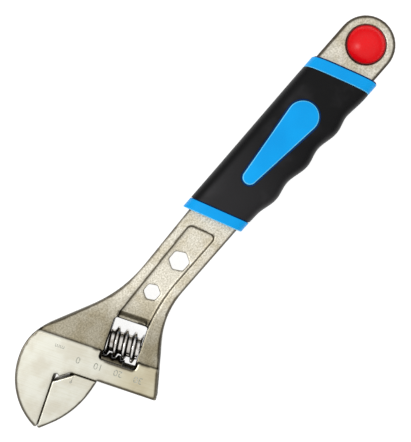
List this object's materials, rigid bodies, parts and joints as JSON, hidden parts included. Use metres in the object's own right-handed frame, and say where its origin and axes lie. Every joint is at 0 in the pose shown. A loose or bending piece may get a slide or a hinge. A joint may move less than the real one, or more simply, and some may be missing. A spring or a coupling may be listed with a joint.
{
  "type": "adjustable wrench",
  "caption": "Adjustable wrench with a jaw that slides on a rack, a worm knurl in a window, a recessed shank with two hexagonal holes and a two-component grip",
  "frame": {"origin": "under the middle of the bounding box, on the surface that the wrench lies on", "axes": "+X along the handle from the jaws to the hanging eye, +Y towards the straight back of the handle, +Z out of the front face"},
  "size_m": [0.2562, 0.0652, 0.0224],
  "materials": {
    "forged_steel": "satin nickel over a blasted forging, ground cheeks",
    "ground_steel": "ground and satin plated",
    "polished_steel": "turned and polished",
    "dark_steel": "plain hardened steel",
    "blue_plastic": "moulded, satin",
    "black_rubber": "soft moulded, fine matt grain",
    "red_plastic": "glossy moulded"
  },
  "bodies": {
    "root": {"wrench_body": "forged_steel", "knurl_pin": "dark_steel", "knurl_spring": "dark_steel", "grip_core": "blue_plastic", "grip_cover": "black_rubber", "eye_plug_front": "red_plastic", "eye_plug_back": "red_plastic"},
    "jaw": {"movable_jaw": "ground_steel"},
    "knurl": {"adjusting_knurl": "polished_steel"}
  },
  "joints": [
    {"name": "knurl_spin", "type": "hinge", "parent": "root", "child": "knurl", "pos_m": [-0.07121, -0.00386, 0.0112], "axis": [-0.3827, 0.9239, 0], "range_deg": [0, 2512]},
    {"name": "jaw_slide", "type": "slide", "parent": "root", "child": "jaw", "axis": [0.3827, -0.9239, 0], "range_m": [0, 0.03]}
  ],
  "couplings": [
    {"joint": "knurl_spin", "follows": "jaw_slide", "rad_per_m": 1461.2}
  ]
}
